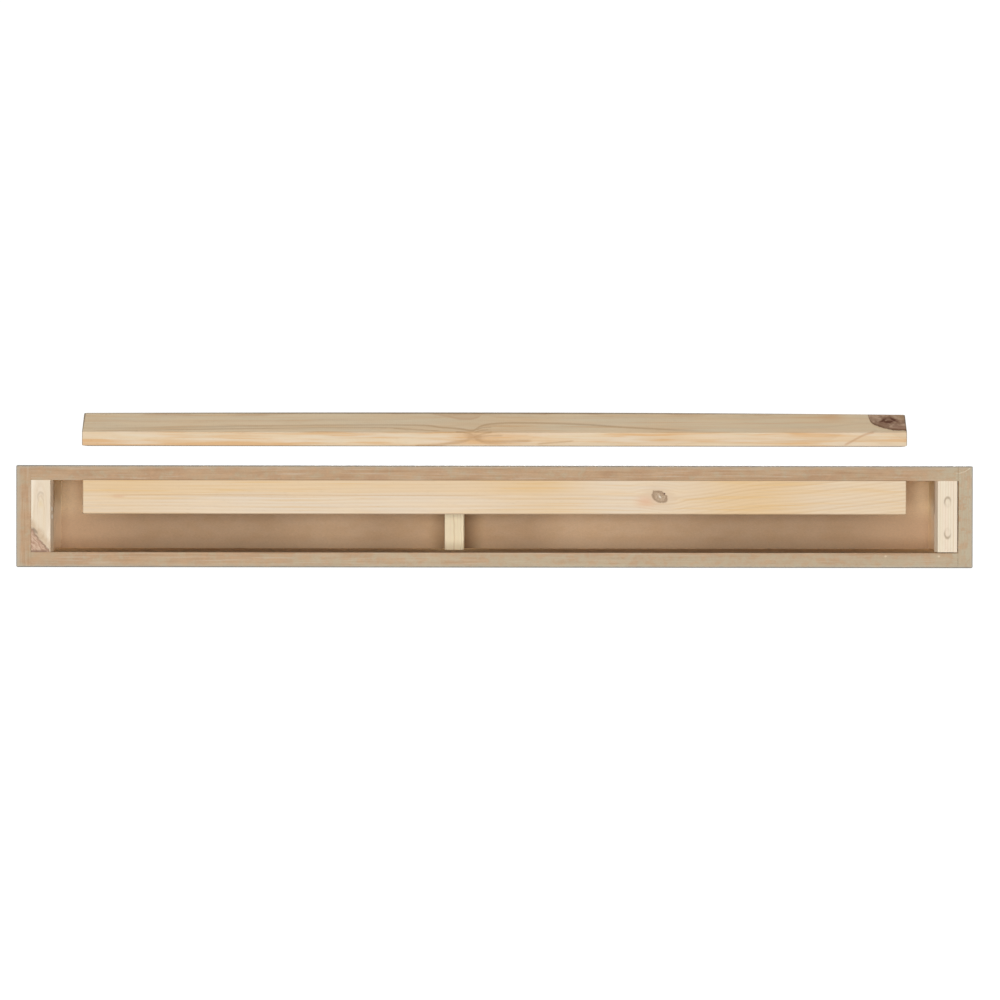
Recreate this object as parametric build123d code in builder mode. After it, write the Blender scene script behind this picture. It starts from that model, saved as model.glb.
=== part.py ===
from build123d import *

from math import cos, radians, sin
import os

# A floating shelf: a board box, open at the back, with a bevelled hanging cleat inside its upper
# back edge, and the loose wall cleat that it hooks over. All sizes are in millimetres.
#
# +Z is up, +Y points from the wall into the room, and the wall's surface is the plane y = 0. The
# origin is the middle of the wall cleat's face on the wall. The shelf is laid out under the cleat
# and just clear of it. "left" is the side towards -X.

# ---- Driving dimensions -------------------------------------------------------------------------

# Board box
shelf_length = 1219.0
shelf_height = 130.0
shelf_depth = 229.0
board = 19.0
arris = 2.0

# Cleats, both cut from one strip by a 45 degree saw cut
cleat_thickness = 25.0
cleat_height = 43.6
hang_cleat_length = 1049.0
wall_cleat_length = 1042.0
cleat_arris = 0.4

# Blocks in the back corners
block_side = 25.0
block_arris = 0.8
right_block_floor_gap = 1.2
right_block_end_gap = 0.8

# Angled screw pockets in the blocks: how far each mouth's middle is from the ceiling or the floor
pocket_radius = 4.4
pocket_angle = 33.4
pocket_length = 18.0
left_mouth_below_ceiling = 22.0
left_mouth_above_floor = 24.0
right_mouth_below_ceiling = 27.0
right_mouth_above_floor = 25.5

# Post between floor and ceiling, against the front panel
post_width = 25.0
post_depth = 70.0
post_x = -54.0

# Screws
screw_radius = 1.8
screw_head_radius = 4.0
screw_head_height = 2.2
screw_tip = 5.0
screw_point_radius = 0.4
screw_recess_depth = 1.3
screw_recess_length = 4.2
screw_recess_width = 0.9
pocket_screw_length = 25.0
cleat_screw_length = 35.0
cleat_screw_count = 7
cleat_screw_pitch = 160.0
cleat_screw_grip = 22.5
counterbore_radius = 4.6
counterbore_run = 15.0

# Dowels
dowel_radius = 4.0
dowel_in_face = 11.0
dowel_in_edge = 19.0
dowel_chamfer = 0.8
front_dowel_count = 6
front_dowel_pitch = 220.0
end_dowel_reaches = (45.0, 115.0, 185.0)
post_dowel_pitch = 38.0

# Clearances
wall_clearance = 0.5
rest_gap = 24.4
hole_clearance = 0.05
hole_end_clearance = 0.5
cut_overrun = 10.0

# ---- Places worked out from them ----------------------------------------------------------------

cleat_straight = cleat_height - cleat_thickness
wall_cleat_bottom = -cleat_straight / 2

shelf_back = cleat_thickness + wall_clearance
shelf_front = shelf_back + shelf_depth
shelf_middle = (shelf_back + shelf_front) / 2
shelf_top = wall_cleat_bottom - rest_gap
shelf_bottom = shelf_top - shelf_height
ceiling = shelf_top - board
floor = shelf_bottom + board
inner_height = ceiling - floor
inner_half = shelf_length / 2 - board
front_panel_back = shelf_front - board
front_panel_middle = shelf_front - board / 2

UPWARD = (Align.CENTER, Align.CENTER, Align.MIN)

# A seat is a plane on the face where a fastener starts, with its normal along the fastener.
# A dowel's seat is on the joint between two pieces, and its normal points into the piece whose
# edge or end the dowel enters.


def seat(x, y, z, into):
    return Plane(origin=(x, y, z), z_dir=into)


def shifted(seats, distance):
    """The same seats, moved along their own normals."""
    return [one.offset(distance) for one in seats]


def turned(seats):
    """The same seats, facing the other way."""
    return [-one for one in seats]


# Dowels between the front panel and the top and bottom panels
front_dowel_xs = [(n - (front_dowel_count - 1) / 2) * front_dowel_pitch for n in range(front_dowel_count)]
top_front_seats = [seat(x, front_panel_middle, ceiling, (0, 0, -1)) for x in front_dowel_xs]
bottom_front_seats = [seat(x, front_panel_middle, floor, (0, 0, 1)) for x in front_dowel_xs]


def end_seats(side):
    """Dowels between an end panel and the boards that meet it. side is -1 at the left, 1 at the right."""
    into = (-side, 0, 0)
    levels = (ceiling + board / 2, floor - board / 2)
    flat = [seat(side * inner_half, shelf_back + reach, z, into) for z in levels for reach in end_dowel_reaches]
    middle = seat(side * inner_half, front_panel_middle, (ceiling + floor) / 2, into)
    return flat + [middle]


left_end_seats = end_seats(-1)
right_end_seats = end_seats(1)

# Dowels at the post's two ends
post_front = front_panel_back
post_middle = post_front - post_depth / 2
post_dowel_ys = [post_middle - post_dowel_pitch / 2, post_middle + post_dowel_pitch / 2]
post_top_seats = [seat(post_x, y, ceiling, (0, 0, -1)) for y in post_dowel_ys]
post_bottom_seats = [seat(post_x, y, floor, (0, 0, 1)) for y in post_dowel_ys]

# Screws up through the hanging cleat: each head's underside is on its seat
cleat_screw_xs = [(n - (cleat_screw_count - 1) / 2) * cleat_screw_pitch for n in range(cleat_screw_count)]
cleat_screw_y = shelf_back + cleat_thickness / 2
cleat_screw_seats = [seat(x, cleat_screw_y, ceiling - cleat_screw_grip, (0, 0, 1)) for x in cleat_screw_xs]

# Screw pockets: the mouths are on the blocks' back faces
left_block_x = -inner_half + block_side / 2
right_block_x = inner_half - right_block_end_gap - block_side / 2
pocket_in = sin(radians(pocket_angle))
pocket_rise = cos(radians(pocket_angle))
left_up = [seat(left_block_x, shelf_back, ceiling - left_mouth_below_ceiling, (0, pocket_in, pocket_rise))]
left_down = [seat(left_block_x, shelf_back, floor + left_mouth_above_floor, (0, pocket_in, -pocket_rise))]
right_up = [seat(right_block_x, shelf_back, ceiling - right_mouth_below_ceiling, (0, pocket_in, pocket_rise))]
right_down = [seat(right_block_x, shelf_back, floor + right_mouth_above_floor, (0, pocket_in, -pocket_rise))]

# ---- Operations on the part that is open --------------------------------------------------------


def drill(seats, radius, depth):
    """Blind holes along the seats' normals."""
    with Locations(*seats):
        Cylinder(radius, depth, align=UPWARD, mode=Mode.SUBTRACT)


def drill_edge_for_dowels(seats):
    drill(seats, dowel_radius + hole_clearance, dowel_in_edge + hole_end_clearance)


def drill_face_for_dowels(seats):
    drill(turned(seats), dowel_radius + hole_clearance, dowel_in_face + hole_end_clearance)


def drill_for_pocket_screws(mouths):
    shoulders = shifted(mouths, pocket_length)
    drill(shoulders, screw_radius + hole_clearance, pocket_screw_length + hole_end_clearance)


def drill_pockets(mouths):
    drill(shifted(mouths, -cut_overrun), pocket_radius, pocket_length + cut_overrun)
    drill_for_pocket_screws(mouths)


def place_dowels(seats):
    """Dowels with chamfered ends, centred on the joint by the depths of their two holes."""
    with Locations(*shifted(seats, -dowel_in_face)):
        Cylinder(dowel_radius, dowel_in_face + dowel_in_edge, align=UPWARD)
    chamfer(edges().filter_by(GeomType.CIRCLE), length=dowel_chamfer)


def place_screws(seats, length):
    """Wood screws with a flat round head and a cross recess, their threads taken as a plain core."""
    heads = shifted(seats, -screw_head_height)
    with Locations(*heads):
        Cylinder(screw_head_radius, screw_head_height, align=UPWARD)
    with Locations(*seats):
        Cylinder(screw_radius, length - screw_tip, align=UPWARD)
    with Locations(*shifted(seats, length - screw_tip)):
        Cone(screw_radius, screw_point_radius, screw_tip, align=UPWARD)
    with Locations(*heads):
        Box(screw_recess_length, screw_recess_width, screw_recess_depth, align=UPWARD, mode=Mode.SUBTRACT)
        Box(screw_recess_width, screw_recess_length, screw_recess_depth, align=UPWARD, mode=Mode.SUBTRACT)


# ---- Board box ----------------------------------------------------------------------------------


def long_board(level, outer):
    """A board that runs between the end panels. outer picks its outside face: -1 top, 0 underside."""
    with BuildPart() as blank:
        with BuildSketch(Plane.XY.offset(level)):
            with Locations((0, shelf_middle)):
                Rectangle(2 * inner_half, shelf_depth)
        extrude(amount=board)
        fillet(blank.faces().sort_by(Axis.Z)[outer].edges().filter_by(Axis.X), radius=arris)
    return blank.part


with BuildPart() as top_panel:
    add(long_board(ceiling, -1))
    drill_edge_for_dowels([one for one in left_end_seats + right_end_seats if one.origin.Z > ceiling])
    drill_face_for_dowels(top_front_seats + post_top_seats)
    drill_for_pocket_screws(left_up + right_up)
    drill(cleat_screw_seats, screw_radius + hole_clearance, cleat_screw_length + hole_end_clearance)

with BuildPart() as bottom_panel:
    add(long_board(shelf_bottom, 0))
    drill_edge_for_dowels([one for one in left_end_seats + right_end_seats if one.origin.Z < floor])
    drill_face_for_dowels(bottom_front_seats + post_bottom_seats)
    drill_for_pocket_screws(left_down + right_down)

with BuildPart() as front_panel:
    with BuildSketch(Plane.XZ.offset(-front_panel_back)):
        with Locations((0, (ceiling + floor) / 2)):
            Rectangle(2 * inner_half, inner_height)
    extrude(amount=-board)
    drill_edge_for_dowels(top_front_seats + bottom_front_seats)
    drill_edge_for_dowels([left_end_seats[-1], right_end_seats[-1]])

with BuildPart() as left_end_panel:
    with BuildSketch(Plane.YZ.offset(-shelf_length / 2)):
        with Locations((shelf_middle, (shelf_top + shelf_bottom) / 2)):
            Rectangle(shelf_depth, shelf_height)
    extrude(amount=board)
    outer_edges, cross_edges, _ = left_end_panel.edges().group_by(Axis.X)
    fillet(outer_edges + cross_edges, radius=arris)
    drill_face_for_dowels(left_end_seats)

with BuildPart() as right_end_panel:
    mirror(left_end_panel.part, about=Plane.YZ)

# ---- Cleats -------------------------------------------------------------------------------------

# The hanging cleat's long face is flush with the shelf's back, so its bevel faces down and inwards
with BuildPart() as hang_cleat:
    with BuildSketch(Plane.YZ.offset(-hang_cleat_length / 2)):
        with BuildLine():
            Polyline(
                (shelf_back, ceiling),
                (shelf_back, ceiling - cleat_height),
                (shelf_back + cleat_thickness, ceiling - cleat_straight),
                (shelf_back + cleat_thickness, ceiling),
                close=True,
            )
        make_face()
    extrude(amount=hang_cleat_length)
    fillet(hang_cleat.edges().filter_by(Axis.X).sort_by(Axis.Z)[:2], radius=cleat_arris)
    drill(turned(cleat_screw_seats), counterbore_radius, counterbore_run)
    drill(cleat_screw_seats, screw_radius + hole_clearance, cleat_screw_length)

# The wall cleat's short face is on the wall, so its bevel faces up and towards the wall
with BuildPart() as wall_cleat:
    with BuildSketch(Plane.YZ.offset(-wall_cleat_length / 2)):
        with BuildLine():
            Polyline(
                (0, wall_cleat_bottom),
                (cleat_thickness, wall_cleat_bottom),
                (cleat_thickness, wall_cleat_bottom + cleat_height),
                (0, wall_cleat_bottom + cleat_straight),
                close=True,
            )
        make_face()
    extrude(amount=wall_cleat_length)
    fillet(wall_cleat.edges().filter_by(Axis.X).sort_by(Axis.Z)[1:], radius=cleat_arris)

# ---- Blocks and post ----------------------------------------------------------------------------


def corner_block(x, bottom, mouths):
    """A square block that reaches up to the ceiling, with its screw pockets."""
    with BuildPart() as blank:
        with BuildSketch(Plane.XY.offset(bottom)):
            with Locations((x, shelf_back + block_side / 2)):
                Rectangle(block_side, block_side)
        extrude(amount=ceiling - bottom)
        fillet(blank.edges().filter_by(Axis.Z), radius=block_arris)
        drill_pockets(mouths)
    return blank.part


with BuildPart() as left_end_block:
    add(corner_block(left_block_x, floor, left_up + left_down))

with BuildPart() as right_end_block:
    add(corner_block(right_block_x, floor + right_block_floor_gap, right_up + right_down))

with BuildPart() as center_post:
    with BuildSketch(Plane.XY.offset(floor)):
        with Locations((post_x, post_middle)):
            Rectangle(post_width, post_depth)
    extrude(amount=inner_height)
    fillet(center_post.edges().filter_by(Axis.Z).sort_by(Axis.Y)[:2], radius=block_arris)
    drill_edge_for_dowels(post_top_seats + post_bottom_seats)

# ---- Fasteners ----------------------------------------------------------------------------------


def pocket_plugs(mouths):
    """Plugs that fill the pockets from the screw heads out, trimmed flush with the back face."""
    bare_length = pocket_length - screw_head_height - hole_end_clearance
    with BuildPart() as plugs:
        with Locations(*shifted(mouths, -cut_overrun)):
            Cylinder(pocket_radius - hole_clearance, bare_length + cut_overrun, align=UPWARD)
        split(bisect_by=Plane.XZ.offset(-shelf_back), keep=Keep.BOTTOM)
    return plugs.part


with BuildPart() as left_pocket_screws:
    place_screws(shifted(left_up + left_down, pocket_length), pocket_screw_length)

with BuildPart() as right_pocket_screws:
    place_screws(shifted(right_up + right_down, pocket_length), pocket_screw_length)

with BuildPart() as left_pocket_plugs:
    add(pocket_plugs(left_up + left_down))

with BuildPart() as right_pocket_plugs:
    add(pocket_plugs(right_up + right_down))

with BuildPart() as cleat_screws:
    place_screws(cleat_screw_seats, cleat_screw_length)

with BuildPart() as post_dowels:
    place_dowels(post_top_seats + post_bottom_seats)

with BuildPart() as top_front_dowels:
    place_dowels(top_front_seats)

with BuildPart() as bottom_front_dowels:
    place_dowels(bottom_front_seats)

with BuildPart() as left_end_dowels:
    place_dowels(left_end_seats)

with BuildPart() as right_end_dowels:
    place_dowels(right_end_seats)

# ---- Files --------------------------------------------------------------------------------------

pieces = {
    "top_panel": top_panel,
    "bottom_panel": bottom_panel,
    "front_panel": front_panel,
    "left_end_panel": left_end_panel,
    "right_end_panel": right_end_panel,
    "hang_cleat": hang_cleat,
    "wall_cleat": wall_cleat,
    "left_end_block": left_end_block,
    "right_end_block": right_end_block,
    "center_post": center_post,
    "left_pocket_screws": left_pocket_screws,
    "right_pocket_screws": right_pocket_screws,
    "left_pocket_plugs": left_pocket_plugs,
    "right_pocket_plugs": right_pocket_plugs,
    "cleat_screws": cleat_screws,
    "post_dowels": post_dowels,
    "top_front_dowels": top_front_dowels,
    "bottom_front_dowels": bottom_front_dowels,
    "left_end_dowels": left_end_dowels,
    "right_end_dowels": right_end_dowels,
}

os.makedirs("parts", exist_ok=True)
for name, piece in pieces.items():
    piece.part.label = name
    export_step(piece.part, f"parts/{name}.step")
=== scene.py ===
import math

import bpy
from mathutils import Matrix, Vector


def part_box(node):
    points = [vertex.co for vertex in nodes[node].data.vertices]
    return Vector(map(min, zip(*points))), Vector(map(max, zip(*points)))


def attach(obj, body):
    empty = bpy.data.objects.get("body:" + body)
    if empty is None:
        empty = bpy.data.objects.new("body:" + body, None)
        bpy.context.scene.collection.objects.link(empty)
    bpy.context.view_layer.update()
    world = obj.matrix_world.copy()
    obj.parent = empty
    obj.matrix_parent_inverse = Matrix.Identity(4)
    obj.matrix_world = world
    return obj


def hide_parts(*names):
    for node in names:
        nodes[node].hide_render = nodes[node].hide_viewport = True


# A floating shelf seen from its open back, with its loose wall cleat above it. The shelf's boards,
# dowels and screws are the CAD nodes with finishes added. Lengths are in metres, except inside the
# materials, where a point's place is measured in millimetres.

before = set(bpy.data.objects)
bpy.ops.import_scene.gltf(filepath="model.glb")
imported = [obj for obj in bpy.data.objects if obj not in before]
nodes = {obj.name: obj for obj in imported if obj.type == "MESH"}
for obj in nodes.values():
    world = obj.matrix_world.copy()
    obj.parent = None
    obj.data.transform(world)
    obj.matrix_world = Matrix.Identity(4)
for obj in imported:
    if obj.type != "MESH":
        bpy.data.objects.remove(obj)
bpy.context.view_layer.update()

MM = 0.001

# ---- Places in the frame ------------------------------------------------------------------------


def box_in_mm(node):
    low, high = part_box(node)
    return low / MM, high / MM


shelf_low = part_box("left_end_panel")[0]
shelf_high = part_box("right_end_panel")[1]
wall_low, wall_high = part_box("wall_cleat")

# In millimetres, for the materials
inner_right = box_in_mm("right_end_panel")[0].x
ceiling = box_in_mm("top_panel")[0].z
floor = box_in_mm("bottom_panel")[1].z
back = shelf_low.y / MM
front = shelf_high.y / MM

# ---- Camera -------------------------------------------------------------------------------------
# It looks straight at the open back, a little to the right of the middle and below the shelf's top.

CAMERA_DISTANCE = 3.050
VIEW_WIDTH = 1.2737
SENSOR = 36.0
camera_beside_middle = 0.0070
camera_below_top = 0.0242
aim_below_camera = 0.0196
camera_roll = -math.radians(0.068)


def make_camera():
    data = bpy.data.cameras.new("camera")
    data.sensor_width = SENSOR
    data.lens = SENSOR * CAMERA_DISTANCE / VIEW_WIDTH
    camera = bpy.data.objects.new("camera", data)
    bpy.context.scene.collection.objects.link(camera)
    camera.location = (camera_beside_middle, shelf_low.y - CAMERA_DISTANCE, shelf_high.z - camera_below_top)
    tilt = math.atan(aim_below_camera / CAMERA_DISTANCE)
    camera.rotation_mode = "XYZ"
    camera.rotation_euler = (math.pi / 2 - tilt, camera_roll, 0)
    bpy.context.scene.camera = camera


# ---- Stage --------------------------------------------------------------------------------------

FLOOR_DROP = 2.6
FLOOR_RADIUS = 14.0


def plain_material(name, colour, glow=0.0):
    material = bpy.data.materials.new(name)
    material.use_nodes = True
    shader = material.node_tree.nodes["Principled BSDF"]
    shader.inputs["Base Color"].default_value = (*colour, 1)
    shader.inputs["Roughness"].default_value = 0.9
    shader.inputs["Emission Color"].default_value = (1, 1, 1, 1)
    shader.inputs["Emission Strength"].default_value = glow
    return material


def make_stage():
    bpy.ops.mesh.primitive_circle_add(
        vertices=96, radius=FLOOR_RADIUS, fill_type="NGON", location=(0, 0, shelf_low.z - FLOOR_DROP)
    )
    ground = bpy.context.object
    ground.name = "ground"
    ground.data.materials.append(plain_material("ground_white", (0.9, 0.9, 0.9), 1.0))
    ground.visible_diffuse = False
    ground.visible_glossy = False


def area_light(name, place, aim, size, power):
    data = bpy.data.lights.new(name, "AREA")
    data.shape = "RECTANGLE"
    data.size, data.size_y = size
    data.energy = power
    light = bpy.data.objects.new(name, data)
    bpy.context.scene.collection.objects.link(light)
    light.location = place
    light.rotation_euler = (Vector(aim) - Vector(place)).to_track_quat("-Z", "Y").to_euler()


def make_lights():
    """The key faces the open back, the strips reach in from both sides, and one lights the room's side."""
    middle = (0, shelf_low.y, (shelf_low.z + shelf_high.z) / 2)
    area_light("key", (-0.06, -3.5, -0.15), middle, (0.62, 0.6), 44)
    area_light("left_strip", (-4.6, -2.5, -0.15), middle, (1.2, 0.5), 108)
    area_light("right_strip", (4.6, -2.5, -0.15), middle, (1.2, 0.5), 103)
    area_light("room_side", (0.6, 3.2, 2.4), middle, (2.5, 1.5), 150)


def make_world():
    """White to the eye, dimmer as a light, so that the frontal lights shape the object."""
    world = bpy.data.worlds.new("studio")
    bpy.context.scene.world = world
    world.use_nodes = True
    tree = world.node_tree
    background = tree.nodes["Background"]
    background.inputs["Color"].default_value = (1, 1, 1, 1)
    background.inputs["Strength"].default_value = 0.20
    seen = tree.nodes.new("ShaderNodeBackground")
    seen.inputs["Color"].default_value = (1, 1, 1, 1)
    seen.inputs["Strength"].default_value = 1.05
    path = tree.nodes.new("ShaderNodeLightPath")
    mix = tree.nodes.new("ShaderNodeMixShader")
    tree.links.new(path.outputs["Is Camera Ray"], mix.inputs["Fac"])
    tree.links.new(background.outputs[0], mix.inputs[1])
    tree.links.new(seen.outputs[0], mix.inputs[2])
    tree.links.new(mix.outputs[0], tree.nodes["World Output"].inputs["Surface"])


# ---- Material nodes -----------------------------------------------------------------------------


def linear(channel):
    """A channel of a screen colour, 0 to 255, as the linear number that Blender takes."""
    share = channel / 255
    return ((share + 0.055) / 1.055) ** 2.4 if channel > 10 else share / 12.92


def srgb(red, green, blue):
    return linear(red), linear(green), linear(blue)


class Field:
    """A number, point or colour that varies over a surface. Arithmetic on it adds nodes."""

    def __init__(self, tree, socket):
        self.tree = tree
        self.socket = socket

    def math(self, operation, *others):
        return compute(self.tree, operation, self, *others)

    def __add__(self, other):
        return self.math("ADD", other)

    def __sub__(self, other):
        return self.math("SUBTRACT", other)

    def __mul__(self, other):
        return self.math("MULTIPLY", other)

    def __truediv__(self, other):
        return self.math("DIVIDE", other)

    def __rsub__(self, other):
        return compute(self.tree, "SUBTRACT", other, self)

    __radd__ = __add__

    def smooth(self, low, high):
        """0 below low and 1 above high, with a smooth step between, or the reverse if low is higher."""
        node = self.tree.nodes.new("ShaderNodeMapRange")
        node.interpolation_type = "SMOOTHSTEP"
        rising = low < high
        feed(self.tree, node.inputs["Value"], self)
        node.inputs["From Min"].default_value = min(low, high)
        node.inputs["From Max"].default_value = max(low, high)
        node.inputs["To Min"].default_value = 0.0 if rising else 1.0
        node.inputs["To Max"].default_value = 1.0 if rising else 0.0
        return Field(self.tree, node.outputs["Result"])


def feed(tree, socket, value):
    if isinstance(value, Field):
        tree.links.new(value.socket, socket)
    elif isinstance(value, tuple) and len(value) == 3 and socket.type == "RGBA":
        socket.default_value = (*value, 1)
    else:
        socket.default_value = value


def compute(tree, operation, *values):
    node = tree.nodes.new("ShaderNodeMath")
    node.operation = operation
    for socket, value in zip(node.inputs, values):
        feed(tree, socket, value)
    return Field(tree, node.outputs[0])


def hypotenuse(u, v):
    return (u * u + v * v).math("SQRT")


def apart(value, place):
    """How far value is from place, either way."""
    return (value - place).math("ABSOLUTE")


def hump(value, middle, spread):
    """1 where value is at middle, falling smoothly to 0 beyond spread."""
    return apart(value, middle).smooth(spread, 0)


def least(first, *rest):
    for value in rest:
        first = first.math("MINIMUM", value)
    return first


def most(first, *rest):
    for value in rest:
        first = first.math("MAXIMUM", value)
    return first


class Finish:
    """One material: its coordinates in millimetres, its noises and mixes, and its shader."""

    def __init__(self, name):
        self.material = bpy.data.materials.new(name)
        self.material.use_nodes = True
        self.tree = self.material.node_tree
        self.shader = self.tree.nodes["Principled BSDF"]
        coordinates = self.add("ShaderNodeTexCoord")
        split = self.add("ShaderNodeSeparateXYZ")
        scaled = self.add("ShaderNodeVectorMath")
        scaled.operation = "SCALE"
        scaled.inputs["Scale"].default_value = 1 / MM
        self.tree.links.new(coordinates.outputs["Object"], scaled.inputs[0])
        self.tree.links.new(scaled.outputs[0], split.inputs[0])
        self.x, self.y, self.z = (Field(self.tree, split.outputs[axis]) for axis in "XYZ")

    def add(self, kind):
        return self.tree.nodes.new(kind)

    def point(self, x, y, z):
        node = self.add("ShaderNodeCombineXYZ")
        for socket, value in zip(node.inputs, (x, y, z)):
            feed(self.tree, socket, value)
        return Field(self.tree, node.outputs[0])

    def noise(self, x, y, z, detail=2.0, roughness=0.5, shift=0.0):
        """Soft noise from 0 to 1 about 0.5. Its features are about one unit of each coordinate."""
        node = self.add("ShaderNodeTexNoise")
        node.noise_dimensions = "3D"
        feed(self.tree, node.inputs["Vector"], self.point(x + shift, y + shift, z + shift))
        node.inputs["Scale"].default_value = 1.0
        node.inputs["Detail"].default_value = detail
        node.inputs["Roughness"].default_value = roughness
        return Field(self.tree, node.outputs["Fac"])

    def sized_noise(self, sizes, detail=2.0, roughness=0.5, shift=0.0):
        """Noise whose features are these sizes in x, y and z, in millimetres."""
        x, y, z = self.x / sizes[0], self.y / sizes[1], self.z / sizes[2]
        return self.noise(x, y, z, detail, roughness, shift)

    def curve(self, value, points):
        """A smooth curve through (value, result) points, level beyond both ends."""
        first, last = points[0][0], points[-1][0]
        low = min(result for _, result in points)
        span = max(result for _, result in points) - low
        node = self.add("ShaderNodeFloatCurve")
        line = node.mapping.curves[0]
        while len(line.points) < len(points):
            line.points.new(0.5, 0.5)
        for knot, (place, result) in zip(line.points, points):
            knot.location = ((place - first) / (last - first), (result - low) / span)
            knot.handle_type = "AUTO_CLAMPED"
        node.mapping.update()
        share = ((value - first) / (last - first)).math("MAXIMUM", 0.0).math("MINIMUM", 1.0)
        feed(self.tree, node.inputs["Value"], share)
        return Field(self.tree, node.outputs["Value"]) * span + low

    def stroke(self, across, value, points, width):
        """1 on a line that follows the points, and 0 beyond its width and its ends."""
        near = apart(across, self.curve(value, points)).smooth(width, width * 0.15)
        start, stop = points[0][0], points[-1][0]
        fade = (stop - start) * 0.12
        return near * value.smooth(start, start + fade) * value.smooth(stop, stop - fade)

    def random(self, value):
        """A separate random number from 0 to 1 for each whole number."""
        node = self.add("ShaderNodeTexWhiteNoise")
        node.noise_dimensions = "1D"
        feed(self.tree, node.inputs["W"], value)
        return Field(self.tree, node.outputs["Value"])

    def mix(self, first, second, share):
        node = self.add("ShaderNodeMix")
        node.data_type = "RGBA"
        node.clamp_factor = True
        feed(self.tree, node.inputs["Factor"], share)
        colours = [socket for socket in node.inputs if socket.type == "RGBA"]
        feed(self.tree, colours[0], first)
        feed(self.tree, colours[1], second)
        output = next(socket for socket in node.outputs if socket.type == "RGBA")
        return Field(self.tree, output)

    def shade(self, colour, amount):
        """The colour times a number."""
        node = self.add("ShaderNodeVectorMath")
        node.operation = "SCALE"
        feed(self.tree, node.inputs[0], colour)
        feed(self.tree, node.inputs["Scale"], amount)
        return Field(self.tree, node.outputs[0])

    def finish(self, colour, roughness, height):
        """height is in millimetres."""
        feed(self.tree, self.shader.inputs["Base Color"], colour)
        feed(self.tree, self.shader.inputs["Roughness"], roughness)
        bump = self.add("ShaderNodeBump")
        bump.inputs["Distance"].default_value = MM
        feed(self.tree, bump.inputs["Height"], height)
        self.tree.links.new(bump.outputs["Normal"], self.shader.inputs["Normal"])
        return self.material


# ---- Fibreboard and paint -----------------------------------------------------------------------

# Two small filled holes in the bottom panel's edge, and how far they are from the right end panel
SPECK_INSETS = (92.1, 24.3)
SPECK_BELOW_FLOOR = 4.0
# The scuff is an arc about a point above the shelf
SCUFF_FROM_RIGHT = 21.5
SCUFF_ABOVE_TOP = 16.7
SCUFF_RADIUS = 26


def inside_ends(f):
    """How far a point is from the nearer end panel. The shelf is the same length each way from x = 0."""
    return inner_right - f.x.math("ABSOLUTE")


def sheet_faces(f, mottle, cheek):
    """The smooth pale faces inside, with painted light and shade: paler toward the ends and on the end
    panels' inner faces, most of all in the upper part, and darker at the front panel's foot and beside the
    post.
    """
    above_floor = f.z - floor
    to_end = inside_ends(f)
    near_end = to_end.smooth(120.5, 45.5)
    lower = above_floor.smooth(60.7, 32.7)
    colour = f.mix(srgb(203, 170, 134), srgb(206, 175, 141), mottle.smooth(0.35, 0.65))
    # Painted light: lighter near the floor away from the ends
    colour = f.mix(colour, srgb(224, 197, 163), above_floor.smooth(16.7, 2.7) * (1.0 - near_end) * 0.5)
    # Painted light and shade: paler toward the ends, lighter above and darker below
    colour = f.mix(colour, f.mix(srgb(240, 209, 171), srgb(217, 185, 150), lower), near_end)
    # Painted light, paler still right by the end panels
    painted_end_light = f.mix(srgb(254, 228, 190), srgb(220, 189, 156), lower)
    colour = f.mix(colour, painted_end_light, to_end.smooth(30.5, -1.5) * 0.8)
    # The end panels' inner faces are painted bright as painted light, lighter above and darker below
    colour = f.mix(colour, f.mix(srgb(255, 244, 218), srgb(232, 206, 173), lower), cheek)
    # The right end panel is more orange toward the front panel, painted lighter above and darker below like
    # the rest of the inner end faces
    orange = cheek * f.y.smooth(front - 52, front - 32) * f.x.smooth(0, 9) * 0.7
    colour = f.mix(colour, f.mix(srgb(255, 236, 194), srgb(228, 196, 152), lower), orange)
    # Painted shade darkens the foot of the front panel and the corners beside the post
    foot = above_floor.smooth(13.7, 1.7) * f.y.smooth(front - 23, front - 20) * 0.02
    post_low, post_high = box_in_mm("center_post")
    corner = most(hump(f.x, post_high.x, 30) * 0.85, hump(f.x, post_low.x, 28) * 0.62)
    corner = corner * f.y.smooth(post_low.y, post_low.y + 20)
    colour = f.mix(colour, srgb(120, 90, 60), most(foot, corner))
    return f.mix(colour, srgb(240, 216, 180), above_floor.smooth(0.3, 0.1))


def sawn_edges(f, mottle, layers):
    """The sheets' sawn edges behind, where the fibres lie in layers."""
    tint = f.sized_noise((13, 13, 10), 2, 0.6, shift=23)
    colour = f.mix(srgb(192, 156, 122), srgb(197, 166, 132), mottle.smooth(0.36, 0.64))
    colour = f.mix(colour, srgb(203, 166, 129), tint.smooth(0.51, 0.66) * 0.58)
    colour = f.mix(colour, srgb(192, 172, 141), tint.smooth(0.48, 0.34) * 0.65)
    colour = f.mix(colour, srgb(178, 140, 104), layers.smooth(0.5, 0.72) * 0.6)
    colour = f.mix(colour, srgb(208, 187, 160), layers.smooth(0.47, 0.28) * 0.65)
    # Thinned paint has soaked into the right end panel's edge, and a little into the bottom's
    soaked = f.x.smooth(inner_right - 60, inner_right + 4) * (0.35 + layers.smooth(0.35, 0.6) * 0.6)
    bottom_edge = (f.z - shelf_low.z / MM).smooth(19.5, 14)
    soaked = most(soaked, bottom_edge * (0.10 + f.x.smooth(-400, -60) * 0.36))
    return f.mix(colour, srgb(198, 184, 156), soaked * (1.03 - tint.smooth(0.48, 0.6) * 0.66))


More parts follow.
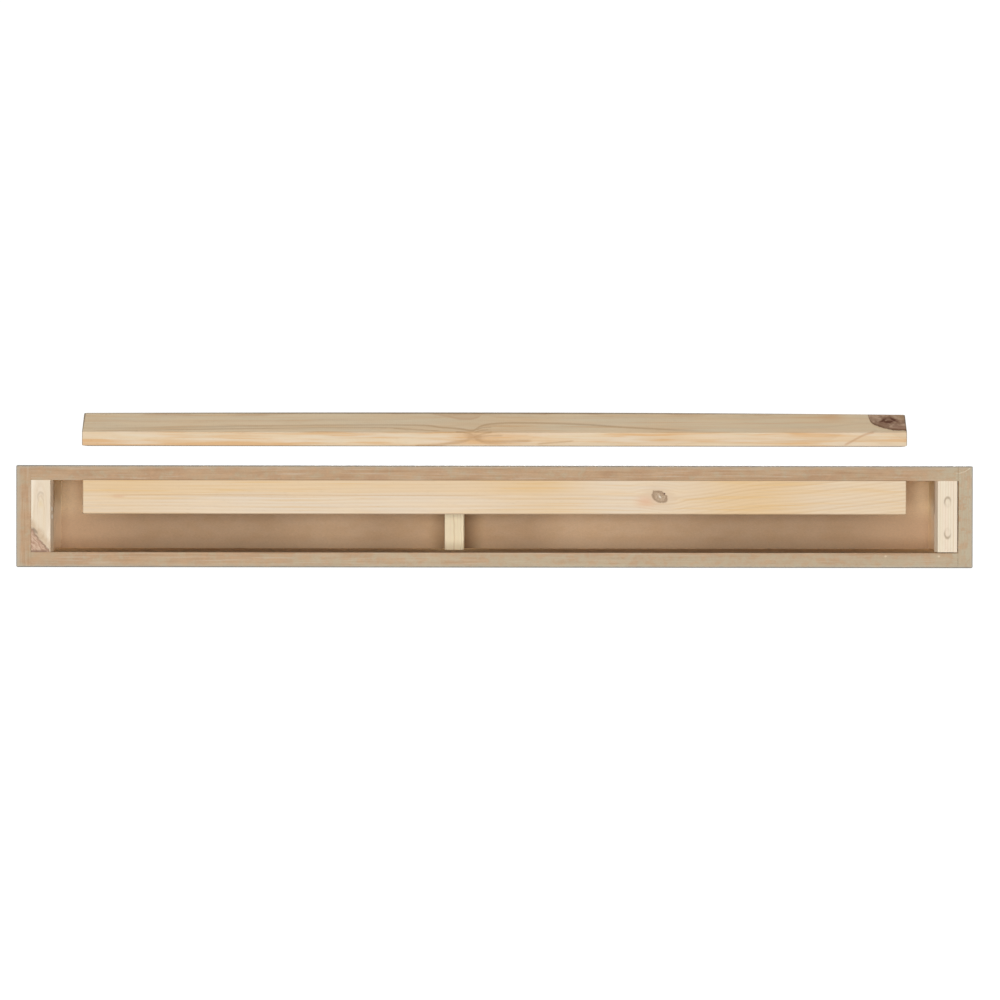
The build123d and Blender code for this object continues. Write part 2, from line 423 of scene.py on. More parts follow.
def board_joints(f, face):
    """Dark lines beside the end panels, and the seam between the top panel and the hanging cleat."""
    joint = inside_ends(f).math("ABSOLUTE")
    broken = f.sized_noise((30, 30, 12), 2, shift=51)
    line = joint.smooth(0.55, 0.1) * (0.15 + broken.smooth(0.35, 0.6) * 0.5)
    line = line * (0.45 + f.x.smooth(-100, 100) * 0.55)
    beside_block = f.z.smooth(floor - 5.3, floor + 44.7) * f.z.smooth(ceiling + 0.5, ceiling - 0.5)
    line = most(line, apart(f.x, inner_right).smooth(1.2, 0.3) * beside_block) * (1.0 - face)
    cleat_end = box_in_mm("hang_cleat")[1].x
    seam = apart(f.z, ceiling).smooth(1.2, 0.3) * f.y.smooth(back + 30, back + 24)
    return line, seam * f.x.math("ABSOLUTE").smooth(cleat_end + 2.5, cleat_end - 0.5)


def filled_specks(f):
    """1 on the pale filler."""
    centres = [(inner_right - inset, floor - SPECK_BELOW_FLOOR) for inset in SPECK_INSETS]
    return least(*(oval(f.x, f.z, centre, (1.6, 1.3)) for centre in centres)).smooth(1.3, 0.6)


def scuff_line(f, right_side, face):
    """A pale scuff curves across the top right corner."""
    dx = right_side - SCUFF_FROM_RIGHT
    dz = f.z - (shelf_high.z / MM + SCUFF_ABOVE_TOP)
    line = apart(hypotenuse(dx, dz), SCUFF_RADIUS).smooth(1.2, 0.2)
    return line * right_side.smooth(23.5, 17.5) * face.smooth(1, 0.5) * right_side.smooth(1.5, 3.5)


def fibreboard():
    """Bare fibreboard inside and behind, and paint on the outer faces, misted a little over the edges."""
    f = Finish("fibreboard_and_paint")
    low, high = shelf_low / MM, shelf_high / MM
    left_side = f.x - low.x
    right_side = high.x - f.x
    # How far a point is inside the shelf's painted outer faces
    depth = least(left_side, right_side, high.z - f.z, f.z - low.z, front - f.y)
    speckle = f.sized_noise((0.8, 0.8, 0.8), 3, 0.6)
    fleck = f.sized_noise((2.6, 2.6, 1.4), 2, shift=17)
    mottle = f.sized_noise((30, 30, 14), 3, shift=4)
    streak = f.sized_noise((60, 6, 2.2), 3, shift=7)
    streak_up = f.sized_noise((2.2, 6, 45), 3, shift=12)
    drift = f.sized_noise((160, 80, 50), 1, shift=31)
    # The end panels stand upright, so their layers do too
    in_end = inside_ends(f).smooth(0.2, -0.2)
    layers = streak * (1.0 - in_end) + streak_up * in_end
    face = f.y.smooth(back + 0.4, back + 1.6)
    cheek = inside_ends(f).smooth(0.3, 0)
    raw = f.mix(sawn_edges(f, mottle, layers), sheet_faces(f, mottle, cheek), face)
    raw = f.shade(raw, 0.755 + drift * 0.09 + speckle * 0.22 + fleck * 0.19)
    line, seam = board_joints(f, face)
    raw = f.mix(raw, srgb(132, 94, 56), most(line, seam * 0.55))
    raw = f.mix(raw, srgb(228, 206, 176), filled_specks(f) * 0.8 * (1.0 - face))
    scuff = scuff_line(f, right_side, face)
    paint = f.mix(srgb(165, 157, 144), srgb(167, 159, 146), mottle.smooth(0.35, 0.65))
    paint = f.shade(paint, 0.97 + speckle * 0.04 + fleck * 0.02)
    edge = f.sized_noise((7, 7, 7), 3, shift=3) * 2.0
    painted = (edge + 0.3 - depth).smooth(-0.4, 0.4)
    mist = (edge * 2.0 + left_side.smooth(10, 2) * 3.2 + 1.0 - depth).smooth(-3.0, 2.0) * 0.5
    colour = f.mix(raw, f.mix(srgb(202, 192, 170), paint, 0.2), mist)
    colour = f.mix(colour, srgb(228, 214, 186), scuff * (0.25 + fleck.smooth(0.4, 0.6) * 0.5))
    colour = f.mix(colour, paint, painted)
    # A darker grey outline along the back rim's outer edge
    rim_outline = depth.smooth(1.5, 0.4) * f.y.smooth(back + 1.4, back + 0.5)
    colour = f.mix(colour, srgb(124, 114, 100), rim_outline * (0.35 + fleck * 0.6))
    roughness = 0.80 - painted * 0.38 + speckle * 0.06 - cheek * face * (1.0 - painted) * 0.48
    peel = f.sized_noise((1.6, 1.6, 1.6), 1, shift=61)
    grit = speckle * 0.10 + fleck * 0.05 + layers * 0.08 * (1.0 - face)
    height = grit * (1.0 - painted) + peel * painted * 0.05 + scuff * 0.2 - most(line, seam) * 0.25
    return f.finish(colour, roughness, height)


# ---- Pine ---------------------------------------------------------------------------------------


class Knot:
    """A branch cut across: its centre, its half widths, and how its long axis leans."""

    def __init__(self, x, z, half_x, half_z, lean=0.0):
        self.x, self.z, self.half_x, self.half_z, self.lean = x, z, half_x, half_z, lean

    def distance(self, f, ragged=0.0):
        """0 at the knot's centre and 1 at its rim."""
        dx = f.x - self.x
        dz = f.z - self.z
        along = dx * math.cos(self.lean) + dz * math.sin(self.lean)
        across = dz * math.cos(self.lean) - dx * math.sin(self.lean)
        reach = hypotenuse(along / self.half_x, across / self.half_z)
        if ragged == 0:
            return reach
        return reach + (f.sized_noise((4, 4, 4), 2, shift=71) - 0.5) * ragged


def oval(u, v, centre, half):
    """0 at the centre of an upright oval and 1 at its rim."""
    return hypotenuse((u - centre[0]) / half[0], (v - centre[1]) / half[1])


def rings_of_pine(f, a, s, t, pith, ring_width, seed, shift=0.0):
    """Latewood, 0 to 1, in growth rings round a pith at (s, t). The grain runs along a."""
    slow = f.noise(a / 340, s / 50, t / 50, 1, shift=seed + 11) - 0.5
    quick = f.noise(a / 70, s / 10, t / 10, 2, shift=seed + 5) - 0.5
    radius = hypotenuse(s - pith[0], t - pith[1]) + slow * 8 + quick * 1.5 + shift
    turns = radius / ring_width
    ring = turns.math("FRACT")
    strength = f.random(turns.math("FLOOR") + seed)
    return ring.smooth(0.25, 0.9) * ring.smooth(1.0, 0.93) * (0.25 + strength * 0.75)


def pine_surface(f, a, s, t, late, early, dark, amber, seed, stain=0.0, ends=None):
    """Colour, roughness and relief of planed pine from its latewood. Its ends, if given, are sawn."""
    fibre = f.noise(a / 22, s / 0.45, t / 0.45, 3, 0.6, shift=seed + 41)
    streak = f.noise(a / 90, s / 2.2, t / 2.2, 2, shift=seed + 29)
    cloud = f.noise(a / 110, s / 13, t / 13, 2, shift=seed + 2)
    pores = f.noise(a / 9, s / 0.3, t / 0.3, 1, shift=seed + 53).smooth(0.66, 0.78)
    colour = f.mix(early[0], early[1], cloud.smooth(0.35, 0.65))
    colour = f.mix(colour, amber, streak.smooth(0.5, 0.72) * 0.45 + stain)
    colour = f.mix(colour, dark, late * 0.5)
    colour = f.shade(colour, 0.955 + fibre * 0.09)
    colour = f.mix(colour, f.shade(dark, 0.7), pores * 0.25)
    height = late * 0.10 + fibre * 0.09 - pores * 0.08
    roughness = 0.60 + fibre * 0.12 - late * 0.10
    if ends is not None:
        colour = f.mix(colour, f.shade(colour, 0.80), ends)
        sawn = f.noise(s / 0.5, t / 0.5, a / 0.5, 2, shift=seed + 3)
        height = height + sawn * ends * 0.2
        roughness = roughness + ends * 0.15
    return colour, roughness, height


def near_ends(f, node):
    """1 on the node's end faces."""
    low, high = box_in_mm(node)
    return least(f.x - low.x, high.x - f.x).smooth(0.8, 0.4)


# ---- The hanging cleat's pine -------------------------------------------------------------------

# One clear dark line runs along the left part, and the grain begins to arch right of the knot
LONG_LINE = [(-526, -72.0), (-380, -71.4), (-200, -71.7), (30, -72.3)]
ARCHES_START = 236


def sound_knot(f, colour, height, reach):
    """A knot with pale heartwood, fine whorls, a broken dark rim and one dark fleck."""
    halo = hump(f.x, 194, 22) * hump(f.z, -79, 12)
    colour = f.mix(colour, srgb(233, 188, 152), halo * 0.8)
    colour = f.mix(colour, srgb(228, 202, 172), reach.smooth(2.6, 1.0) * 0.5)
    grit = f.sized_noise((1.8, 1.8, 1.8), 3, 0.65, shift=15)
    whorl = (reach * 3.4 + grit * 0.8).math("FRACT")
    heart = f.mix(srgb(172, 142, 112), srgb(206, 180, 150), grit.smooth(0.36, 0.62))
    heart = f.mix(heart, srgb(228, 214, 192), reach.smooth(0.28, 0.08))
    heart = f.shade(heart, 0.92 + whorl * 0.12)
    rim = hump(reach, 0.9, 0.3) * (0.35 + grit.smooth(0.4, 0.6) * 0.5)
    colour = f.mix(colour, heart, reach.smooth(1.12, 0.95))
    colour = f.mix(colour, srgb(146, 112, 84), rim * 0.6)
    fleck = hypotenuse(f.x - 216.5, f.z + 69.2)
    colour = f.mix(colour, srgb(84, 52, 36), fleck.smooth(1.5, 0.6) * 0.95)
    return colour, height - rim * 0.25 + reach.smooth(0.9, 0.5) * 0.12


def hang_cleat_pine():
    """Nearly straight grain, with one sound knot and arching grain to its right."""
    f = Finish("pine_hang_cleat")
    low, high = box_in_mm("hang_cleat")
    knot = Knot(210.5, -73.2, 10.3, 6.9, lean=-0.5)
    reach = knot.distance(f, 0.55)
    around = reach.smooth(4.2, 0.9)
    above = (f.z - knot.z).math("SIGN")
    rise = (f.x - ARCHES_START).math("MAXIMUM", 0.0)
    bend = rise * 0.105 + hump(f.x, 330, 70) * 3.0
    shift = bend + around * above * 4.5 * apart(f.z, knot.z).smooth(0, 5)
    late = rings_of_pine(f, f.x, f.y, f.z, (-52, 66), 4.1, 4.0, shift)
    # The rings are fainter just under the long line
    faint = f.z.smooth(-74, -75) * f.z.smooth(-80, -79) * f.x.smooth(60, -60)
    late = most(late * (0.82 - faint * 0.4), f.stroke(f.z, f.x, LONG_LINE, 1.3) * 1.25)
    upper = f.z.smooth(-73, -66) * f.x.smooth(150, 40)
    patch = hump(f.x, 60, 110) * 0.35 + hump(f.x, 330, 110) * 0.55 + hump(f.x, -470, 120) * 0.25
    stain = upper * 0.5 + (patch + f.x.smooth(170, 250) * 0.22)
    early = srgb(241, 219, 189), srgb(237, 218, 193)
    dark, amber = srgb(214, 174, 122), srgb(236, 200, 148)
    ends = near_ends(f, "hang_cleat")
    colour, roughness, height = pine_surface(f, f.x, f.y, f.z, late, early, dark, amber, 4.0, stain, ends)
    spot = Knot(-479, -73, 9, 2.2).distance(f)
    colour = f.mix(colour, srgb(226, 184, 146), spot.smooth(1.4, 0.3) * 0.6)
    colour, height = sound_knot(f, colour, height, reach)
    # Painted shade darkens the lower arris; thin dark lines mark the ends and the seam with the top panel
    shade_and_edge_lines = f.z.smooth(low.z + 1.5, low.z + 0.8) * 0.55
    shade_and_edge_lines = shade_and_edge_lines + f.x.math("ABSOLUTE").smooth(high.x - 1.1, high.x - 0.2) * 0.7
    shade_and_edge_lines = shade_and_edge_lines + f.z.smooth(ceiling - 0.9, ceiling - 0.2) * 0.15
    return f.finish(f.mix(colour, srgb(160, 124, 84), shade_and_edge_lines), roughness, height)


# ---- The wall cleat's pine ----------------------------------------------------------------------

# The bevel's clear dark ring: it dips to the corner by the middle, and runs out at the right
BEVEL_RING = [
    (-526, 12.6), (-430, 13.6), (-300, 15.8), (-140, 17.4), (-94, 17.0), (-69, 14.5), (-51, 13.2),
    (-36, 11.4), (-29, 10.2), (-24, 12.0), (-18, 15.6), (-7, 18.6), (8, 19.8), (26, 20.4),
    (52, 20.2), (107, 18.6), (160, 15.0), (210, 12.4), (290, 9.0),
]
# Shorter rings round the figure where the grain crosses at the middle, as (x, z) and half width
FIGURE_RINGS = [
    ([(-132, 13.2), (-96, 11.2), (-66, 9.7)], 1.2),
    ([(-24, 11.0), (-14, 14.2), (-3, 15.0)], 1.2),
    ([(-26, 7.6), (-17, 10.6), (-7, 11.4)], 1.0),
    ([(-104, -9.6), (-72, -8.0), (-53, -5.2), (-39, -3.1), (-25, 1.8)], 3.0),
    ([(-29, 3.2), (-20, -2.0), (-7, -4.2), (22, -3.4), (50, -2.4)], 3.0),
    ([(-28, 1.4), (-20, 4.2), (-13, 6.6), (-2, 8.4)], 1.8),
    ([(-24, 2.2), (-10, 3.6), (12, 4.0)], 1.6),
    ([(-50, 8.6), (-38, 7.8), (-26, 5.0)], 1.6),
    ([(52, -6.6), (74, -4.8), (102, -2.7)], 1.6),
]
# The dark knot's lower boundary
KNOT_EDGE = [
    (474.8, 37), (475.3, 30), (476.1, 25.6), (478.0, 21), (481.4, 18.4),
    (488, 15.8), (495, 13.6), (503, 11.9), (509, 11.3), (526, 10.8),
]
# What the brown arch under the thin edge follows, and the diagonal grain below the knot
ARCH_LINE = [(-84, 33), (-62, 29.4), (-34, 25.2), (-24, 26.8), (-14, 33)]
SLANT_LINE = [(440, -8.0), (447, -5.0), (460, 2.0), (468, 5.8), (482, 9.4)]
# Three cracks at the dark knot's core
KNOT_CRACKS = [
    Knot(493, 24.0, 4.0, 1.4, lean=0.5),
    Knot(499.5, 22.4, 6.0, 1.7, lean=0.1),
    Knot(506, 25.4, 5.5, 1.6, lean=-0.6),
]


def bevel_rings(f, ragged):
    """The lines of the rings that the bevel cuts, and of the figure at its middle."""
    bevel = f.y.smooth(0.2, 0.9)
    ring_line = f.stroke(f.z + ragged * 0.8, f.x, BEVEL_RING, 1.9) * bevel
    ring_line = ring_line * (0.62 + f.x.smooth(-170, -70) * 0.38)
    under_line = f.stroke(f.z, f.x, [(x, z - 3.0) for x, z in BEVEL_RING[:5]], 1.2) * bevel * 0.4
    figure = most(*(f.stroke(f.z + ragged * 1.2, f.x, points, width) for points, width in FIGURE_RINGS))
    return most(ring_line * 0.48, under_line, figure * 0.44)


def edge_stains(f):
    """A brown arch under the thin edge, diagonal grain below the knot, and resin streaks along the edge."""
    arch = (f.z - f.curve(f.x, ARCH_LINE)).smooth(-2.0, 3.0) * f.x.smooth(-80, -50) * f.x.smooth(-10, -22)
    arch = arch * 0.5 + f.stroke(f.z, f.x, ARCH_LINE, 2.0) * 0.7
    slant = f.stroke(f.z, f.x, SLANT_LINE, 2.4)
    resin = f.z.smooth(27, 33) * f.sized_noise((55, 9, 9), 2, shift=83).smooth(0.48, 0.64)
    return arch * 0.5 + slant * 0.6 + resin * 0.5


def dark_knot(f, colour, inside, swirl):
    """Brown cracked wood in the knot. inside is the height above the knot's lower boundary."""
    bark = f.mix(srgb(158, 124, 100), srgb(198, 166, 138), swirl.smooth(0.40, 0.62))
    bark = f.mix(bark, srgb(168, 128, 106), f.z.smooth(19, 14) * f.x.smooth(498, 512) * 0.8)
    bark = f.mix(bark, srgb(186, 152, 116), hump(f.x, 518, 9) * f.z.smooth(22, 28) * 0.7)
    core = least(*(crack.distance(f, 2.2) for crack in KNOT_CRACKS))
    bark = f.mix(bark, srgb(134, 94, 68), core.smooth(2.6, 1.0) * 0.6)
    bark = f.mix(bark, srgb(98, 58, 38), core.smooth(1.35, 0.5) * 0.95)
    bark = f.mix(bark, srgb(128, 92, 62), inside.smooth(3.8, 1.0) * 0.8)
    colour = f.mix(colour, srgb(222, 190, 150), inside.smooth(-4.0, -0.5) * 0.45)
    return f.mix(colour, bark, inside.smooth(-0.4, 0.4))


def wall_cleat_pine():
    """Rings cross the bevelled edge. A dark knot breaks out at the right end."""
    f = Finish("pine_wall_cleat")
    low, high = box_in_mm("wall_cleat")
    ragged = f.sized_noise((5, 5, 5), 3, 0.6, shift=71) - 0.5
    face = f.y.smooth(2.0, 0.3)
    near_side = f.y.smooth(high.y - 0.4, high.y - 1.6)
    shift = hump(f.x, 470, 60) * 5.0 + hump(f.x, -30, 50) * 3.0 + f.x * 0.004
    late = rings_of_pine(f, f.x, f.y, f.z, (60, 12), 4.6, 8.0, shift) * (0.35 + face * 0.45)
    lower = f.z.smooth(1.5, -6.5) * f.x.smooth(-180, -330) * 0.7
    middle = hump(f.x, -10, 110) * 0.65
    right = hump(f.x, 400, 150) * 0.35 + hump(f.x, 210, 90) * 0.35
    patchy = f.sized_noise((120, 8, 4.6), 3, 0.55, shift=63)
    stain = (lower + middle + right) * (0.35 + face * 0.65) + patchy.smooth(0.46, 0.66) * face * 0.8
    early = srgb(239, 214, 178), srgb(234, 214, 182)
    dark, amber = srgb(206, 164, 116), srgb(229, 185, 134)
    ends = near_ends(f, "wall_cleat")
    colour, roughness, height = pine_surface(f, f.x, f.y, f.z, late, early, dark, amber, 8.0, stain, ends)
    colour = f.mix(colour, srgb(238, 212, 184), patchy.smooth(0.46, 0.33) * face * 0.55)
    pale_spot = f.sized_noise((100, 7, 5), 2, shift=37).smooth(0.5, 0.66)
    colour = f.mix(colour, srgb(238, 222, 198), pale_spot * face * 0.5)
    colour = f.mix(colour, srgb(186, 144, 98), bevel_rings(f, ragged) * near_side)
    crossing = Knot(-26, 2.4, 13, 4.2, lean=-0.15).distance(f, 0.8)
    colour = f.mix(colour, srgb(186, 142, 94), crossing.smooth(1.3, 0.3) * near_side * 0.5)
    colour = f.mix(colour, srgb(204, 158, 116), edge_stains(f) * near_side)
    colour = f.mix(colour, srgb(226, 178, 130), hump(f.x, 428, 24) * hump(f.z, 28, 9) * 0.5)
    inside = f.z - f.curve(f.x, KNOT_EDGE) + ragged * 2.2
    swirl = f.sized_noise((9, 6, 4.2), 2, 0.55, shift=91)
    colour = dark_knot(f, colour, inside, swirl)
    rim = hump(inside, 0.4, 0.9)
    colour = f.mix(colour, srgb(98, 64, 46), rim * 0.7)
    # The arrises are darker: the thin edge most, then the ends and the foot
    end_arris = (f.x.math("ABSOLUTE") - high.x).smooth(-1.4, -0.2)
    thin_edge = f.z.smooth(high.z - 2.6, high.z - 0.4)
    foot = f.z.smooth(low.z + 1.2, low.z + 0.2)
    colour = f.mix(colour, srgb(116, 100, 80), most(thin_edge * 0.8, end_arris * 0.6, foot * 0.55))
    sawn = (f.x * 2.6 + f.sized_noise((9, 9, 9), 1, shift=3) * 9).math("SINE")
    height = height + sawn * 0.018 * (1.0 - face) + swirl * inside.smooth(0, 0.5) * 0.5 - rim * 0.3
    return f.finish(colour, roughness, height)


# ---- The blocks' and the post's pine ------------------------------------------------------------

# A point on the branch collar's edge, and the edge's direction
COLLAR_POINT = (-589, -116)
COLLAR_DIRECTION = (0.63, -0.78)


def upright_pine(name, pith, ring_width, seed, pale, extra=None):
    """Pine with its grain upright."""
    f = Finish(name)
    late = rings_of_pine(f, f.z, f.x, f.y, pith, ring_width, seed)
    dark, amber = srgb(221, 194, 157), srgb(244, 220, 188)
    colour, roughness, height = pine_surface(f, f.z, f.x, f.y, late, pale, dark, amber, seed)
    if extra is not None:
        colour, height = extra(f, colour, height)
    return f.finish(colour, roughness, height)


def plug_marks(plugs, upper, lower, strength=1.0):
    """Thin shadow lines round the plugs at two heights, darkest where a pocket runs deepest."""
    low, high = box_in_mm(plugs)
    middle = (low.x + high.x) / 2

    def mark(f, colour, height):
        lines = []
        for z, up in ((upper, 1.0), (lower, -1.0)):
            reach = Knot(middle, z, 4.6, 7.4).distance(f, 0.16)
            deep = ((f.z - z) * up + (middle - f.x) * 0.6).smooth(-4, 5)
            lines.append(hump(reach, 0.82, 0.38) * (0.08 + deep * 0.54) + hump(reach, 0.5, 0.5) * 0.06)
        shadow = most(*lines) * f.y.smooth(back + 1.5, back + 0.5) * strength
        return f.mix(colour, srgb(156, 131, 99), shadow), height - shadow * 0.2

    return mark


def branch_collar(f, colour, height):
    """Reddish wood across the lower outside corner, with a dark seam along its edge."""
    dx = f.x - COLLAR_POINT[0]
    dz = f.z - COLLAR_POINT[1]
    along = dx * COLLAR_DIRECTION[0] + dz * COLLAR_DIRECTION[1]
    slope = dz * COLLAR_DIRECTION[0] - dx * COLLAR_DIRECTION[1]
    slope = slope + (f.sized_noise((5, 5, 5), 3, 0.6, shift=21) - 0.5) * 7
    wood = f.noise(along / 10, f.y / 9, slope / 1.6, 3, shift=33)
    patch = f.mix(srgb(190, 150, 124), srgb(218, 186, 158), wood.smooth(0.4, 0.6))
    colour = f.mix(colour, srgb(206, 174, 138), hump(slope, 4, 8) * 0.6)
    colour = f.mix(colour, patch, slope.smooth(0.8, -0.8))
    seam = hump(slope, -0.6, 2.2)
    colour = f.mix(colour, srgb(134, 102, 78), seam * (0.35 + wood.smooth(0.45, 0.55) * 0.5))
    tail = Knot(-585.5, -117, 5.0, 2.0, lean=-0.9).distance(f, 0.5)
    return f.mix(colour, srgb(122, 100, 80), tail.smooth(1.3, 0.5) * 0.6), height - seam * 0.2


def left_block_marks(f, colour, height):
    """Arched grain, faint plugs, a branch collar, dried glue on the inner side, and painted shade on the
    inner side and at its foot.
    """
    inner_side = box_in_mm("left_end_block")[1].x
    reach = Knot(-578, -94, 4.6, 21).distance(f, 0.3)
    arches = most(hump(reach, 1.0, 0.16), hump(reach, 1.7, 0.3) * 0.4) * f.z.smooth(-104, -88)
    colour = f.mix(colour, srgb(204, 170, 128), arches * 0.34)
    colour = f.mix(colour, srgb(236, 212, 168), reach.smooth(1.0, 0.5) * f.z.smooth(-92, -82) * 0.6)
    colour, height = plug_marks("left_pocket_plugs", ceiling - 22, floor + 24, 0.45)(f, colour, height)
    colour, height = branch_collar(f, colour, height)
    side = f.x.smooth(inner_side - 0.7, inner_side - 0.3)
    drips = least(oval(f.y, f.z, (36, -89.5), (5.0, 3.4)), oval(f.y, f.z, (37, -99.5), (5.0, 3.4)))
    glue = drips.smooth(1.15, 0.75) * side
    # Painted shade darkens the inner side, most toward its deep end
    colour = f.mix(colour, srgb(206, 176, 140), side * (0.55 + hump(f.y, 48, 9) * 0.3))
    colour = f.mix(colour, srgb(255, 246, 230), glue)
    # Painted shade at the inner side's foot, by the bottom panel
    foot = f.z.smooth(floor + 4.2, floor + 1.2) * f.x.smooth(inner_side - 0.5, inner_side - 6.5)
    return f.mix(colour, srgb(132, 98, 76), foot * 0.75), height + glue * 0.6


def post_marks(f, colour, height):
    """One dark ring up the middle, and a fainter one toward the right edge."""
    low, high = box_in_mm("center_post")
    middle = (low.x + high.x) / 2
    wander = (f.sized_noise((40, 40, 18), 2, shift=13) - 0.5) * 5
    grain = hump(f.x + wander, middle - 0.6, 1.7) * 0.36
    grain = grain + hump(f.x + wander * 1.6, high.x - 3.7, 1.1) * 0.32
    return f.mix(colour, srgb(196, 162, 118), grain), height - grain * 0.1


# ---- Hidden screws ------------------------------------------------------------------------------


def zinc_steel():
    f = Finish("zinc_steel")
    stain = f.sized_noise((2, 2, 2), 3)
    scratch = f.sized_noise((0.2, 3, 3), 2, shift=5)
    colour = f.mix(srgb(214, 196, 142), srgb(196, 178, 150), stain.smooth(0.35, 0.65))
    f.shader.inputs["Metallic"].default_value = 1.0
    return f.finish(colour, 0.28 + stain * 0.15 + scratch * 0.08, stain * 0.02)


# ---- The wall cleat -----------------------------------------------------------------------------

STATION_STEP = 2.5 * MM
OUTLINE_STEP = 1.2 * MM
ARC_PIECES = 4
ARRIS = 0.45 * MM
END_ARRIS = 0.5 * MM
SHARP_DEGREES = 40
# How far the thin edge's corner stands above the CAD's before it is rounded and let down
NOSE_RISE = 0.9 * MM
# How far the thin edge falls away at the left end and at the right
END_FALL = (1.2 * MM, 2.4 * MM)
# How far the bevel's lower arris sags at the ends, and how much more at the middle
ARRIS_SAG = (1.3 * MM, 0.7 * MM)
# How much farther the thin edge reaches at each end than the foot does
END_FLARE = 1.5 * MM
# The radii of the thin edge's corners and the foot's, left and right
TOP_CORNERS = (1.6 * MM, 1.6 * MM)
FOOT_CORNERS = (1.4 * MM, 2.4 * MM)


def rounded_outline(corners, radius, step):
    """Points round a polygon of (y, z) corners, with its corners rounded and its sides divided."""
    points = []
    count = len(corners)
    for i in range(count):
        before, here, after, following = (Vector(corners[(i + k) % count]) for k in (-1, 0, 1, 2))
        back_way, on_way = (before - here).normalized(), (after - here).normalized()
        reach = radius / math.tan(back_way.angle(on_way) / 2)
        centre = here + (back_way + on_way).normalized() * (radius / math.sin(back_way.angle(on_way) / 2))
        first, last = here + back_way * reach, here + on_way * reach
        for k in range(ARC_PIECES + 1):
            point = first.lerp(last, k / ARC_PIECES) - centre
            points.append(centre + point.normalized() * radius)
        ahead = (following - after).normalized()
        stop = after - on_way * (radius / math.tan((-on_way).angle(ahead) / 2))
        pieces = max(1, round((stop - last).length / step))
        points += [last.lerp(stop, k / pieces) for k in range(1, pieces)]
    return points


def corner_drop(distance, radius):
    """How much a rounded corner takes off at a distance from the end."""
    if distance >= radius:
        return 0.0
    return radius - math.sqrt(radius * radius - (radius - distance) ** 2)


def cleat_stations(low, high):
    """(x, inset) from end to end. At the ends the outline is drawn in by the inset, which rounds them."""
    start = []
    for k in range(ARC_PIECES):
        angle = k / ARC_PIECES * math.pi / 2
        start.append((low.x + END_ARRIS * (1 - math.sin(angle)), END_ARRIS * (1 - math.cos(angle))))
    straight = high.x - low.x - 2 * END_ARRIS
    count = round(straight / STATION_STEP)
    middle = [(low.x + END_ARRIS + straight * k / count, 0.0) for k in range(count + 1)]
    return start + middle + [(-x, inset) for x, inset in reversed(start)]


def cleat_section(x, inset, outline, nose):
    """The outline's points at x, with the thin edge, the arris and the corners worn to shape."""
    low, high = wall_low, wall_high
    nose_low = nose - (high.y - low.y)
    middle = Vector(((low.y + high.y) / 2, (low.z + high.z) / 2))
    share = x / high.x
    fall = END_FALL[0 if x < 0 else 1] * share * share
    sag = ARRIS_SAG[0] + ARRIS_SAG[1] * (1 - share * share)
    left, right = x - low.x, high.x - x
    top_cut = corner_drop(left, TOP_CORNERS[0]) + corner_drop(right, TOP_CORNERS[1])
    foot_cut = corner_drop(left, FOOT_CORNERS[0]) + corner_drop(right, FOOT_CORNERS[1])
    points = []
    for point in outline:
        y, z = point + (middle - point).normalized() * inset
        if z > nose_low:
            rise = (z - nose_low) / (nose - nose_low)
            z -= sag * (1 - rise) + (fall + top_cut) * rise
        else:
            rise = (z - low.z) / (nose_low - low.z)
            z += foot_cut * (1 - rise) - sag * rise
        flare = END_FLARE * (rise if z > nose_low else 0.0) * share ** 9
        points.append((x + flare, y, z))
    return points


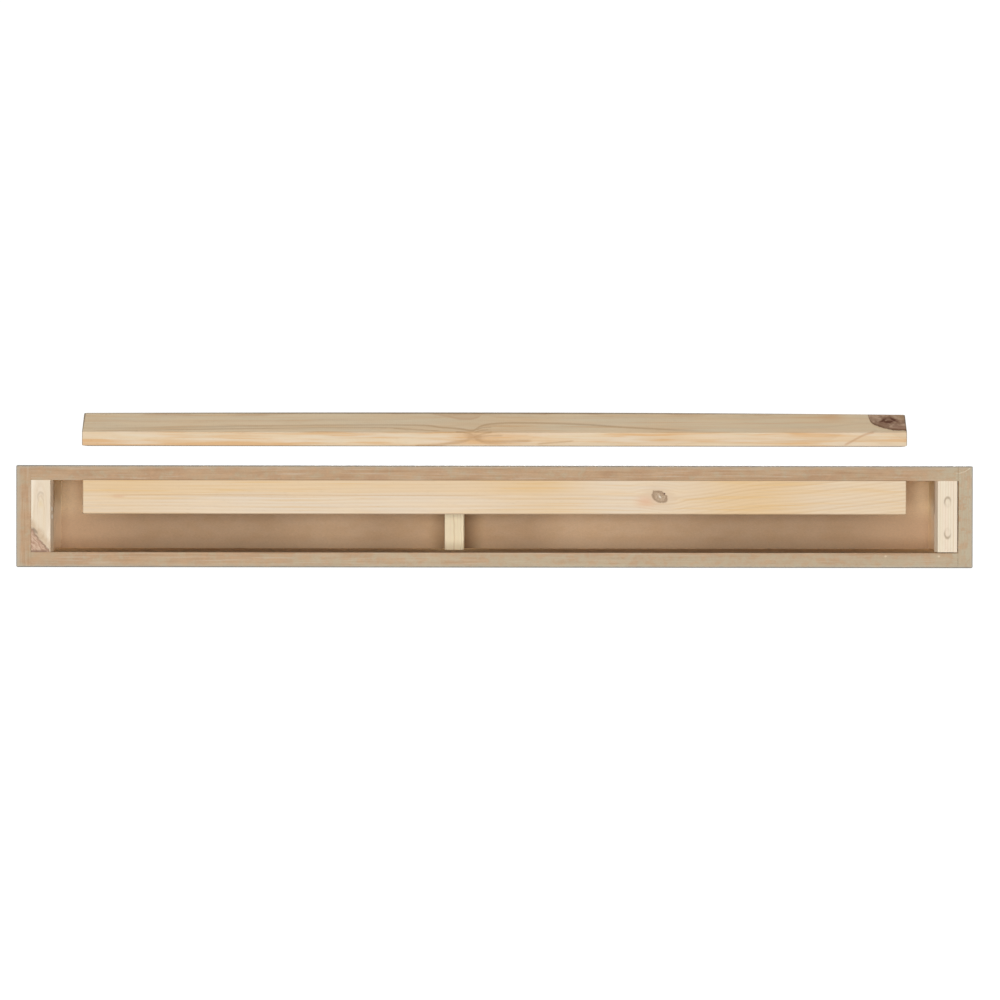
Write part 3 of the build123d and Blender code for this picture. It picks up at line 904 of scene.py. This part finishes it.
def make_wall_cleat():
    low, high = wall_low, wall_high
    nose = high.z + NOSE_RISE
    corners = [(low.y, low.z), (high.y, low.z), (high.y, nose), (low.y, nose - (high.y - low.y))]
    outline = rounded_outline(corners, ARRIS, OUTLINE_STEP)
    stations = cleat_stations(low, high)
    verts = [point for x, inset in stations for point in cleat_section(x, inset, outline, nose)]
    ring = len(outline)
    faces = []
    for i in range(len(stations) - 1):
        for j in range(ring):
            k = (j + 1) % ring
            faces.append((i * ring + j, i * ring + k, (i + 1) * ring + k, (i + 1) * ring + j))
    faces.append(tuple(range(ring - 1, -1, -1)))
    faces.append(tuple(range((len(stations) - 1) * ring, len(stations) * ring)))
    mesh = bpy.data.meshes.new("wall_cleat_wood")
    mesh.from_pydata(verts, [], faces)
    mesh.validate()
    mesh.update()
    mesh.shade_smooth()
    mesh.set_sharp_from_angle(angle=math.radians(SHARP_DEGREES))
    piece = bpy.data.objects.new("wall_cleat_wood", mesh)
    bpy.context.scene.collection.objects.link(piece)
    piece.data.materials.append(wall_cleat_pine())
    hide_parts("wall_cleat")
    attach(piece, "wall_side")


# ---- Dressing the frame -------------------------------------------------------------------------


def dress(material, slot, *names):
    for name in names:
        shown = nodes[name]
        shown.data.materials.clear()
        shown.data.materials.append(material)


def dress_frame():
    board = fibreboard()
    dress(board, "board", "top_panel", "bottom_panel", "front_panel")
    dress(board, "board", "left_end_panel", "right_end_panel")
    dress(hang_cleat_pine(), "pine", "hang_cleat")
    pale = srgb(251, 237, 217), srgb(248, 233, 208)
    left = upright_pine("pine_left_block", (-577, 140), 5.2, 9.0, pale, left_block_marks)
    pale = srgb(249, 230, 206), srgb(247, 233, 208)
    right_marks = plug_marks("right_pocket_plugs", ceiling - 27, floor + 25.5)
    right = upright_pine("pine_right_block", (520, 60), 3.1, 14.0, pale, right_marks)
    pale = srgb(255, 242, 206), srgb(254, 240, 206)
    post = upright_pine("pine_post", (-54, 260), 4.0, 17.0, pale, post_marks)
    beech = upright_pine("beech_dowel", (0, 0), 1.2, 20.0, (srgb(222, 186, 148), srgb(214, 176, 136)))
    dress(left, "pine", "left_end_block")
    dress(right, "pine", "right_end_block")
    dress(post, "pine", "center_post")
    dress(left, "plug_wood", "left_pocket_plugs")
    dress(right, "plug_wood", "right_pocket_plugs")
    dress(beech, "dowel_beech", "post_dowels", "left_end_dowels", "right_end_dowels")
    dress(beech, "dowel_beech", "top_front_dowels", "bottom_front_dowels")
    dress(zinc_steel(), "screw_steel", "left_pocket_screws", "right_pocket_screws", "cleat_screws")


bpy.context.scene.view_settings.view_transform = "Standard"
make_camera()
make_stage()
make_lights()
make_world()
dress_frame()
make_wall_cleat()
